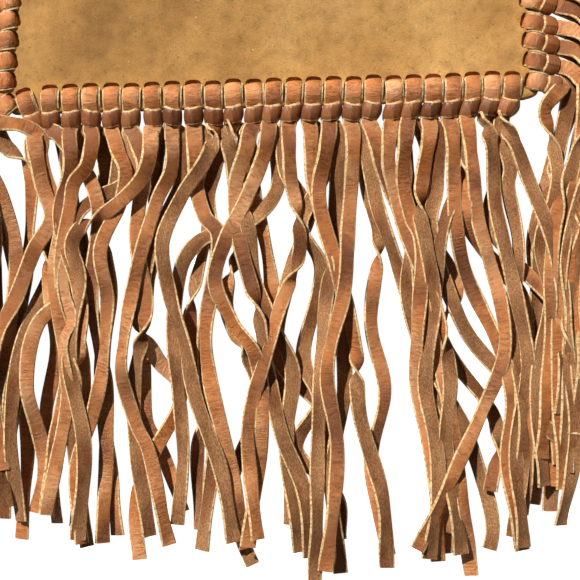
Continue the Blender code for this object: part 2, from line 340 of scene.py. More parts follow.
def strip_part(points, across, normals, width, thickness, seed, closed=False, cup=0.0, start=0.0):
    """Vertices, faces, zones and strip coordinates of one swept strip.

    cup is how far the strip's sides bend down, as a share of its half width. start is where
    its length is counted from.
    """
    points, across, normals = (np.asarray(a, float) for a in (points, across, normals))
    count = len(points)
    width = np.broadcast_to(width, count)
    section = np.array(SECTION)
    half = width[:, None] / 2
    a = section[None, :, 0] * half
    cup = np.broadcast_to(cup, count)[:, None]
    b = section[None, :, 1] * thickness / 2 - cup * (section[None, :, 0] ** 2) * half
    verts = points[:, None] + across[:, None] * a[..., None] + normals[:, None] * b[..., None]
    along = start + travelled(points)
    beside = np.broadcast_to(np.abs(section[None, :, 0]), a.shape)
    coordinates = np.stack(
        (a, np.broadcast_to(along[:, None], a.shape), np.full(a.shape, seed), beside), axis=-1
    )
    sides = len(section)
    faces = []
    zones = []
    for i in range(count if closed else count - 1):
        j = (i + 1) % count
        for k in range(sides):
            m = (k + 1) % sides
            faces.append((i * sides + k, i * sides + m, j * sides + m, j * sides + k))
            zones.append(ZONES[k])
    if not closed:
        faces.append(tuple(range(sides))[::-1])
        faces.append(tuple((count - 1) * sides + k for k in range(sides)))
        zones += [EDGE_ZONE] * 2
    return verts.reshape(-1, 3), faces, zones, coordinates.reshape(-1, 4)


def add_object(name, data):
    made = bpy.data.objects.new(name, data)
    bpy.context.scene.collection.objects.link(made)
    return made


def add_attribute(mesh, name, values):
    """A vector for each vertex, for the materials to read."""
    data = mesh.attributes.new(name, "FLOAT_VECTOR", "POINT")
    data.data.foreach_set("vector", values.ravel())


def build_piece(name, parts, materials):
    """One mesh object from several strip parts."""
    verts, faces, zones, strips = [], [], [], []
    for part_verts, part_faces, part_zones, part_strips in parts:
        base = sum(len(v) for v in verts)
        verts.append(part_verts)
        strips.append(part_strips)
        faces += [tuple(base + i for i in face) for face in part_faces]
        zones += part_zones
    mesh = bpy.data.meshes.new(name)
    mesh.from_pydata(np.concatenate(verts).tolist(), [], faces)
    for material in materials:
        mesh.materials.append(material)
    mesh.polygons.foreach_set("material_index", zones)
    strips = np.concatenate(strips)
    add_attribute(mesh, "strip", strips[:, :3])
    add_attribute(mesh, "beside", np.repeat(strips[:, 3], 3))
    mesh.update()
    mesh.shade_smooth()
    mesh.set_sharp_from_angle(angle=SHARP_EDGE)
    return add_object(name, mesh)


def spline(points, step):
    """Evenly spaced points on a smooth curve through the given ones."""
    p = np.asarray(points, float)
    p = np.concatenate(([2 * p[0] - p[1]], p, [2 * p[-1] - p[-2]]))
    dense = []
    for a, b, c, d in zip(p, p[1:], p[2:], p[3:]):
        for t in np.linspace(0, 1, SPLINE_STEPS, endpoint=False):
            dense.append(
                0.5 * (2 * b + (c - a) * t + (2 * a - 5 * b + 4 * c - d) * t**2
                       + (3 * b - a - 3 * c + d) * t**3)
            )
    dense.append(p[-2])
    dense = np.array(dense)
    lengths = travelled(dense)
    at = np.linspace(0, lengths[-1], max(2, round(lengths[-1] / step) + 1))
    return np.stack([np.interp(at, lengths, dense[:, k]) for k in range(p.shape[1])], axis=1)


def frames(points, rolls):
    """Across and normal directions along a path. At roll 0 the normal is as far up as it can be."""
    tangent = unit(np.gradient(points, axis=0))
    flat = np.cross(tangent, UP)
    flat /= np.maximum(np.linalg.norm(flat, axis=1), 1e-9)[:, None]
    up = np.cross(flat, tangent)
    c, s = np.cos(rolls)[:, None], np.sin(rolls)[:, None]
    return flat * c + up * s, up * c - flat * s


# ---------------------------------------------------------------- how the tails lie


class Pile:
    """Heights of what already lies on the floor, on a fine plan grid."""

    CELL = 1.0 * MM
    LOW = (-240 * MM, -350 * MM)
    SIZE = (480, 480)
    ACROSS = 9  # samples across a strip
    SLOPE = 0.42  # the steepest that a strip climbs
    CLEAR = 0.15 * MM
    FIRM = 9 * MM  # a pile squashes above this height
    LIMIT = 21 * MM
    SOFT_STEPS = 6  # stations on each side that a height is softened over
    SOFT_LENGTH = 4.5 * MM

    def __init__(self):
        self.top = np.zeros(self.SIZE)

    def cells(self, plan, half):
        """Grid cells under a strip, for each station: (stations, samples)."""
        tangent = unit(np.gradient(plan, axis=0))
        side = np.stack((-tangent[:, 1], tangent[:, 0]), axis=1)
        spread = np.linspace(-1, 1, self.ACROSS)
        spots = plan[:, None] + side[:, None] * (spread[None, :, None] * half[:, None, None])
        index = ((spots - np.array(self.LOW)) / self.CELL).astype(int)
        return tuple(np.clip(index[..., k], 0, self.SIZE[k] - 1) for k in (0, 1))

    def squash(self, height):
        spare = self.LIMIT - self.FIRM
        over = np.maximum(height - self.FIRM, 0)
        return np.minimum(height, self.FIRM) + spare * (1 - np.exp(-over / spare))

    def soften(self, height, step):
        reach = np.arange(-self.SOFT_STEPS, self.SOFT_STEPS + 1)
        kernel = np.exp(-((reach * step / self.SOFT_LENGTH) ** 2))
        kernel /= kernel.sum()
        return np.convolve(np.pad(height, self.SOFT_STEPS, mode="edge"), kernel, mode="valid")

    def lay(self, plan, rolls, lift, start_height, held):
        """Heights of a strip's middle over what lies under it, squashed in a deep pile.

        The strip is added to the pile.
        """
        count = len(plan)
        step = np.linalg.norm(plan[1] - plan[0])
        tilt = np.abs(np.sin(rolls))
        half = (np.abs(np.cos(rolls)) * WIDTH + tilt * THICKNESS) / 2
        rise = (tilt * WIDTH + np.abs(np.cos(rolls)) * THICKNESS) / 2
        cells = self.cells(plan, half)
        need = self.squash(self.top[cells].max(axis=1) + rise + self.CLEAR + lift)
        held_count = max(1, int(held / step))
        need[:held_count] = start_height
        distance = np.abs(np.arange(count)[:, None] - np.arange(count)[None, :]) * step
        height = (need[None, :] - self.SLOPE * distance).max(axis=1)
        height[:held_count] = start_height
        for _ in range(2):
            height = np.maximum(self.soften(height, step), need)
            height[:held_count] = start_height
        height[held_count:] = self.soften(height, step)[held_count:]
        np.maximum.at(self.top, cells, np.broadcast_to((height + rise)[:, None], cells[0].shape))
        return height


PILE = Pile()


# ---------------------------------------------------------------- hitches


class Hitch:
    """A punched hole, and the local directions of the thong through it."""

    SIDE_REACH = 0.82  # the side rows are tighter
    SEED_STEP = 0.37

    def __init__(self, node, hole, out, lean, slant):
        self.node = node
        self.hole = np.array((*hole, 0.0))
        self.out = np.array((*out, 0.0)) / np.linalg.norm(out)
        self.side = np.array((-self.out[1], self.out[0], 0.0))
        self.lean = lean  # how far the ring is turned about the vertical
        self.slant = slant  # how far it leans sideways as it goes out
        self.reach = self.SIDE_REACH if abs(self.out[0]) > abs(self.out[1]) else 1.0
        self.seed = float(len(HITCHES)) * self.SEED_STEP

    def at(self, out, side=0.0, z=0.0):
        return self.hole + self.out * out * self.reach + self.side * side + UP * z


HITCHES = []
RANDOM = random.Random(11)

# The hole and the direction of the two thongs at the left corner.
BOTTOM_CORNER = ((-122 * MM, -77.5 * MM), (0.34, -0.94))
LEFT_CORNER = ((-128.5 * MM, -80.5 * MM), (-0.75, -0.66))
SLANT = 0.2  # added near the 7th and the 17th thong of the bottom row, over 5 thongs
SLANT_AT = (7, 17)
SLANT_OVER = 5


def spread(amount):
    return RANDOM.uniform(-amount, amount)


def add_hitch(node, hole, out, slant=0.0):
    slant += spread(0.07)
    HITCHES.append(Hitch(node, hole, out, spread(0.1), slant))


def place_hitches():
    add_hitch("bottom_thong_01", *BOTTOM_CORNER)
    for i in range(BOTTOM_COUNT):
        middle = math.sin(math.pi * i / (BOTTOM_COUNT - 1))
        x = BOTTOM_FIRST + BOTTOM_PITCH * i + BOTTOM_SHIFT * middle + spread(0.15) * MM
        y = bottom_y(x) + HOLE_TO_EDGE + spread(0.4) * MM
        slant = -sum(SLANT * float(smooth((i - first) / SLANT_OVER)) for first in SLANT_AT)
        add_hitch(f"bottom_thong_{i + 2:02d}", (x, y), (spread(0.05), -1), slant)
    add_hitch("left_thong_01", *LEFT_CORNER)
    for side, name, first in ((-1, "left_thong", 2), (1, "right_thong", 1)):
        for i in range(SIDE_COUNT):
            y = SIDE_FIRST + SIDE_PITCH * i + spread(0.5) * MM
            x = side * (side_x(y) - SIDE_HOLE_TO_EDGE)
            add_hitch(f"{name}_{i + first:02d}", (x, y), (side, RANDOM.uniform(-0.26, -0.14)))


place_hitches()


# ---------------------------------------------------------------- the panels

# A thong presses on the panels from a little inside its hole to past their edge.
PRESS_RUN = 4 * MM
PRESS_END = 16 * MM
PRESS_HALF = 3.6 * MM
ROW_HALF = 9 * MM

# The panels' edges between the thongs, the first four in mm.
PUCKER = 0.9
LIFT_BETWEEN = 1.1
PRESS_UNDER = 0.3
EDGE_DIP = 0.5
EDGE_DIP_WIDTH = 3 * MM
PUCKER_DEPTH = 7 * MM
EDGE_ROUNDING = 1.1 * MM
MOUTH_HEM = 14 * MM
BACK_SHOWS = 0.5 * MM  # past the front panel's edge
WAVES = 0.8 * MM
WOBBLE = 0.12 * MM
RIM = 0.05 * MM

SLOT_SIDES = 14
SLOT_HALF = 4.1 * MM
SLOT_ROUND = 0.7  # 1 is an ellipse, and less is squarer
FRONT_SLOT = (3.0 * MM, -0.7 * MM)  # half its breadth, and how far out it is moved
BACK_SLOT = (2.2 * MM, 0.8 * MM)
CUT_FROM, CUT_TO = -20 * MM, 60 * MM

# x, y and radius in mm, and how dark the patch is
WORN_PATCHES = (
    (-92, -52, 26, 0.28), (-118, -30, 18, 0.3), (-60, -60, 20, 0.18), (-112, -62, 16, 0.25),
    (20, -40, 30, 0.1), (-40, -25, 22, 0.12), (118, -60, 9, 0.25), (70, 20, 30, 0.12),
)


def near_hitches(x, y):
    """How much each plan point is under a thong (0 to 1), and how close it is to a row (0 to 1)."""
    under = np.zeros_like(x)
    row = np.zeros_like(x)
    for hitch in HITCHES:
        dx, dy = x - hitch.hole[0], y - hitch.hole[1]
        out = dx * hitch.out[0] + dy * hitch.out[1]
        side = dx * hitch.side[0] + dy * hitch.side[1]
        window = smooth((out + PRESS_RUN) / PRESS_RUN) * (out < PRESS_END)
        under = np.maximum(under, window * np.exp(-((side / PRESS_HALF) ** 4)))
        row = np.maximum(row, window * np.exp(-((side / ROW_HALF) ** 4)))
    return under, row


def panel_grid():
    """Plan points of a panel, their distance from the edge, and the outward direction there."""
    half_x, half_y = side_x(-TOP_Y), TOP_Y

    def axis(half):
        edge = [half - e * MM for e in EDGE_STEPS]
        inner = np.linspace(-edge[-1], edge[-1], int(2 * edge[-1] / GRID_STEP))
        return np.concatenate(([-e for e in edge[:-1]], inner, edge[:-1][::-1]))

    gx, gy = np.meshgrid(axis(half_x), axis(half_y), indexing="ij")
    inset_x = np.abs(gx) - (half_x - CORNER_RADIUS)
    inset_y = -gy - (half_y - CORNER_RADIUS)
    corner = (inset_x > 0) & (inset_y > 0)
    longest = np.maximum(inset_x, inset_y)
    length = np.maximum(np.hypot(inset_x, inset_y), 1e-9)
    shrink = np.where(corner, longest / length, 1.0)
    px = np.where(corner, np.sign(gx) * (half_x - CORNER_RADIUS + inset_x * shrink), gx)
    py = np.where(corner, -(half_y - CORNER_RADIUS + inset_y * shrink), gy)
    distance = np.minimum(half_x - np.abs(gx), np.minimum(half_y + gy, half_y - gy))
    out_x = np.where(corner, inset_x * np.sign(gx), np.where(inset_x > inset_y, np.sign(gx), 0.0))
    out_y = np.where(corner, -inset_y, np.where(inset_x > inset_y, 0.0, -1.0))
    norm = np.maximum(np.hypot(out_x, out_y), 1e-9)
    x = px * side_x(py) / half_x
    share = (TOP_Y - py) / BODY_HEIGHT
    y = TOP_Y - share * (TOP_Y - bottom_y(x))
    return x, y, distance, out_x / norm, out_y / norm


def front_surface(x, y):
    across = np.clip(1 - (np.abs(x) / (side_x(y) - HEM)) ** 4, 0, 1)
    up = smooth((y - bottom_y(x) - HEM) / (0.5 * BODY_HEIGHT))
    waves = 0.5 * np.sin(x * 41 + 1.1) * np.sin(y * 63 + 0.4) + 0.3 * np.sin(x * 77 - y * 52)
    return FRONT_LOW + PANEL_THICKNESS + PUFF * across * up + WAVES * waves * across * up


def back_surface(x, y):
    inside = np.minimum(side_x(y) - HEM - np.abs(x), y - bottom_y(x) - HEM)
    return BACK_RAISE * (1 - smooth(inside / (8 * MM))) + PANEL_THICKNESS


def panel(name, surface, front):
    """A suede panel, puckered between its thongs, with its edges rounded and its holes punched."""
    x, y, distance, out_x, out_y = panel_grid()
    under, row = near_hitches(x, y)
    lifted = row - under
    mouth = np.clip((y - (TOP_Y - MOUTH_HEM)) / MOUTH_HEM, 0, 1)
    near = np.exp(-((distance / PUCKER_DEPTH) ** 2)) * (1 - mouth)
    grow = near * (PUCKER * lifted - PUCKER * under) * MM + (0 if front else BACK_SHOWS)
    x = x + out_x * grow
    y = y + out_y * grow
    top = surface(x, y)
    if front:
        top = top + (LIFT_BETWEEN * lifted - PRESS_UNDER * under) * MM * (1 - 0.5 * mouth)
        wobble = np.sin(x * 310 + y * 270) * np.sin(x * 190 - y * 330)
        top = top + WOBBLE * wobble
        top = top - near * row * EDGE_DIP * MM * smooth(1 - distance / EDGE_DIP_WIDTH)
    rim_share = (1 - distance / EDGE_ROUNDING).clip(0)
    rounding = PANEL_THICKNESS / 2 * (1 - np.sqrt(np.clip(1 - rim_share**2, 0, 1)))
    bottom = top - PANEL_THICKNESS + rounding
    top = top - rounding
    columns, rows = x.shape
    rim_gap = (top - bottom) < 1e-6
    bottom = np.where(rim_gap, bottom - RIM, bottom)
    verts = np.concatenate((
        np.stack((x, y, top), axis=-1).reshape(-1, 3),
        np.stack((x, y, bottom), axis=-1).reshape(-1, 3),
    ))
    size = columns * rows
    i, j = np.meshgrid(np.arange(columns - 1), np.arange(rows - 1), indexing="ij")
    first = (i * rows + j).ravel()
    quads = np.stack((first, first + rows, first + rows + 1, first + 1), axis=1)
    faces = quads.tolist() + (quads[:, ::-1] + size).tolist()
    rim = (
        [c * rows for c in range(columns)]
        + [(columns - 1) * rows + r for r in range(1, rows)]
        + [c * rows + rows - 1 for c in range(columns - 2, -1, -1)]
        + [r for r in range(rows - 2, 0, -1)]
    )
    for k, here in enumerate(rim):
        ahead = rim[(k + 1) % len(rim)]
        faces.append((ahead, here, here + size, ahead + size))
    mesh = bpy.data.meshes.new(name)
    mesh.from_pydata(verts.tolist(), [], faces)
    mesh.materials.append(SUEDE)
    face_outwards(mesh)
    piece = add_object(name, mesh)
    punch(piece, *(FRONT_SLOT if front else BACK_SLOT))
    add_wear(piece)
    return piece


def face_outwards(mesh):
    shape = bmesh.new()
    shape.from_mesh(mesh)
    bmesh.ops.recalc_face_normals(shape, faces=shape.faces)
    if shape.calc_volume(signed=True) < 0:
        bmesh.ops.reverse_faces(shape, faces=shape.faces)
    shape.to_mesh(mesh)
    shape.free()


def punch(piece, breadth, shift):
    """Cuts the slots that the thongs go through. Those of the front panel are pulled open a little."""
    shape = bmesh.new()
    for hitch in HITCHES:
        outline = []
        for k in range(SLOT_SIDES):
            a = 2 * math.pi * k / SLOT_SIDES
            side = SLOT_HALF * math.copysign(abs(math.cos(a)) ** SLOT_ROUND, math.cos(a))
            out = breadth * math.copysign(abs(math.sin(a)) ** SLOT_ROUND, math.sin(a))
            outline.append(hitch.at(out + shift, side))
        low = [shape.verts.new((*p[:2], CUT_FROM)) for p in outline]
        high = [shape.verts.new((*p[:2], CUT_TO)) for p in outline]
        shape.faces.new(low)
        shape.faces.new(high)
        for k in range(SLOT_SIDES):
            m = (k + 1) % SLOT_SIDES
            shape.faces.new((low[k], low[m], high[m], high[k]))
    bmesh.ops.recalc_face_normals(shape, faces=shape.faces)
    mesh = bpy.data.meshes.new("punch")
    shape.to_mesh(mesh)
    shape.free()
    cutter = add_object("punch", mesh)
    modifier = piece.modifiers.new("punch", "BOOLEAN")
    modifier.operation = "DIFFERENCE"
    modifier.solver = "MANIFOLD"
    modifier.object = cutter
    bpy.context.view_layer.update()
    graph = bpy.context.evaluated_depsgraph_get()
    result = bpy.data.meshes.new_from_object(piece.evaluated_get(graph))
    piece.modifiers.clear()
    piece.data = result
    bpy.data.objects.remove(cutter)
    result.shade_smooth()
    result.set_sharp_from_angle(angle=math.radians(50))


def add_wear(piece):
    """How dark and matted the nap is at each point: in the punched rows and in a few patches."""
    mesh = piece.data
    points = np.empty(len(mesh.vertices) * 3)
    mesh.vertices.foreach_get("co", points)
    points = points.reshape(-1, 3)
    under, row = near_hitches(points[:, 0], points[:, 1])
    worn = 0.55 * under + 0.12 * row
    for x, y, radius, amount in WORN_PATCHES:
        gap = np.hypot(points[:, 0] - x * MM, (points[:, 1] - y * MM) * 1.5) / (radius * MM)
        worn = np.maximum(worn, amount * np.exp(-(gap**2)))
    add_attribute(mesh, "worn", np.repeat(worn, 3))


# ---------------------------------------------------------------- thongs

# Out from the hole and up, in mm, for the two layers over the panel's edge.
UPPER_PATH = ((-0.9, 2.6), (-0.95, 5.2), (-0.5, 7.3), (1.0, 8.9), (3.4, 9.5), (6.0, 8.9), (8.2, 7.2),
              (10.2, 5.6), (13.0, 4.6))
LOWER_PATH = ((0.1, 2.6), (0.2, 5.0), (0.9, 6.4), (2.2, 6.95), (4.4, 7.15), (6.8, 6.8), (9.0, 5.2),
              (11.2, 3.7), (14.0, 2.9))
EXIT_HEIGHTS = (4.4 * MM, 2.8 * MM)
LOWER_OFFSET = 0.8 * MM  # the lower layer shows a little past the upper one's side

RING_TOP_RADIUS = 2.9 * MM
RING_LOW_RADIUS = 1.2 * MM
RING_CORNER_STEPS = 4
RING_CROWN = 0.7 * MM
RING_SAG = 0.9 * MM
RING_TILT = -0.22  # its outer side is lower
RING_CUP = 0.2
RING_START_COUNT = 0.1  # m, so that no part of a ring gets the painted light of the tongues or of the tails' ends
LOWER_START_COUNT = 0.3  # m, so that a lower tail is brighter all along, with the painted light of the tails' ends
SWAYS = ((0.42, 41, 1), (0.3, 97, 2))  # size in radians, radians per metre, and share of the phase

# The leg's route, out from the hole and up, in mm.
LEG_PATH = ((0.6, 3.4), (0.4, 1.6), (1.6, 0.85), (5, 0.8), (9, 0.9), (12, 1.3), (15, 1.5))
LEG_WIDTH = 0.9 * WIDTH

TURN_LENGTH = 22  # mm of strip that half a turn takes
HELD = 5 * MM  # of a tail, past its ring
OVERRUN = 12 * MM  # of a tail's course before it leaves its ring
UPRIGHT_END = 2 * MM  # out from the hole


def ring_part(hitch):
    """The fold of the thong: a closed band round its own tails."""
    loop = []
    wide, tight = RING_TOP_RADIUS, RING_LOW_RADIUS
    for radius, centre_s, centre_z, start in (
        (wide, RING_HALF - wide, RING_HIGH - wide, 0),
        (wide, -RING_HALF + wide, RING_HIGH - wide, 90),
        (tight, -RING_HALF + tight, RING_LOW + tight, 180),
        (tight, RING_HALF - tight, RING_LOW + tight, 270),
    ):
        for k in range(RING_CORNER_STEPS + 1):
            a = math.radians(start + 90 * k / RING_CORNER_STEPS)
            loop.append((centre_s + radius * math.cos(a), centre_z + radius * math.sin(a)))
        if start == 0:
            loop.append((0.0, RING_HIGH + RING_CROWN))
    loop = spline(np.array([*loop, loop[0]]), 0.9 * MM)[:-1]
    turn = hitch.lean * 2
    aside = hitch.slant * RING_LENGTH / 2
    points = []
    for s, z in loop:
        sag = RING_SAG * (1 - (s / RING_HALF) ** 2) if z > (RING_LOW + RING_HIGH) / 2 else 0.0
        points.append(hitch.at(RING_START + RING_LENGTH / 2 + turn * s + sag, s + aside, z))
    points = np.array(points)
    tangent = unit(np.roll(points, -1, axis=0) - np.roll(points, 1, axis=0))
    across = np.tile(hitch.out + UP * RING_TILT + hitch.side * hitch.slant, (len(points), 1))
    across = unit(across - tangent * (across * tangent).sum(axis=1)[:, None])
    normals = np.cross(tangent, across)
    if ((points - points.mean(axis=0)) * normals).sum() < 0:
        normals = -normals
        across = -across
    verts, faces, zones, strips = strip_part(
        points, across, normals, RING_LENGTH * hitch.reach, THICKNESS, hitch.seed + 0.11, closed=True,
        cup=RING_CUP, start=RING_START_COUNT
    )
    # The ring's grain side takes the darker copy of the grain, which is painted shade.
    return verts, faces, [SHADED_RING_ZONE if zone == GRAIN_ZONE else zone for zone in zones], strips


def leg_part(hitch):
    """The strip behind the panels, from the hole to the ring."""
    points = spline([hitch.at(out * MM, 0, z * MM) for out, z in LEG_PATH], STATION)
    across, normals = frames(points, np.zeros(len(points)))
    return strip_part(points, across, -normals, LEG_WIDTH, THICKNESS, hitch.seed + 0.2)


def tail_rolls(lengths, flips, base, phase):
    """How far a tail is turned about its own line: the turns it is given, and a sway of its own."""
    rolls = np.full(len(lengths), base)
    for place, amount in flips:
        turned = smooth((lengths - (place - TURN_LENGTH / 2) * MM) / (TURN_LENGTH * MM))
        rolls = rolls + amount * math.pi * turned
    sway = sum(size * np.sin(lengths * pace + share * phase) for size, pace, share in SWAYS)
    return rolls + sway * smooth((lengths - 6 * MM) / (16 * MM))


def tail_part(hitch, course, flips, layer, width):
    """One tail: over the panel's edge, through the ring and along its course on the floor."""
    path = UPPER_PATH if layer == 0 else LOWER_PATH
    beside = LOWER_OFFSET * (1 if layer else -0.3)
    head = [hitch.at(out * MM, beside, z * MM) for out, z in path]
    exit_point = hitch.at(EXIT + 1.5 * MM, hitch.slant * RING_LENGTH)[:2]
    ahead = hitch.at(EXIT - 3 * MM, hitch.slant * RING_LENGTH / 2)[:2]
    plan = spline([ahead, exit_point] + [np.array(p) * MM for p in course], STATION)
    lengths = travelled(plan)
    plan = plan[lengths <= TAIL_LENGTH + OVERRUN]
    lengths = lengths[: len(plan)]
    base = 0.0 if layer == 0 else math.pi
    phase = hitch.seed * 17 + layer * 2.1
    rolls = tail_rolls(lengths, flips, base, phase)
    lift = 0.4 * MM * (1 + np.sin(lengths * 83 + 3 * phase)) * smooth(lengths / (30 * MM))
    height = PILE.lay(plan, rolls, lift, EXIT_HEIGHTS[layer], HELD)
    tail = np.column_stack((plan, height))
    head_points = spline(head + [tail[1]], 0.8 * MM)[:-1]
    points = np.concatenate((head_points, tail[1:]))
    all_rolls = np.concatenate((np.full(len(head_points), base), rolls[1:]))
    across, normals = frames(points, all_rolls)
    settle_frames(hitch, points, across, normals, base)
    along = travelled(points)
    breadth = width * (1 + 0.04 * np.sin(along * 160 + phase) + 0.03 * np.sin(along * 61))
    breadth = breadth * (1 - 0.06 * smooth((along - 30 * MM) / (60 * MM)))
    cup = 0.02 + 0.26 * np.exp(-((along / (14 * MM)) ** 2)) + 0.04 * np.sin(along * 37 + phase)
    return strip_part(
        points, across, normals, breadth, THICKNESS, hitch.seed + layer * 0.5, cup=cup,
        start=layer * LOWER_START_COUNT
    )


def settle_frames(hitch, points, across, normals, base):
    """Where the strip comes up out of its hole it is upright, so its width follows the hitch there."""
    tangent = unit(np.gradient(points, axis=0))
    flip = 1.0 if math.cos(base) > 0 else -1.0
    for i in range(len(points)):
        out = float(np.dot(points[i] - hitch.hole, hitch.out))
        if out > RING_START * hitch.reach:
            break
        steep = np.linalg.norm(np.cross(tangent[i], UP)) <= 0.5
        if steep or out <= UPRIGHT_END:
            across[i] = -hitch.side * flip
            normals[i] = np.cross(across[i], tangent[i])


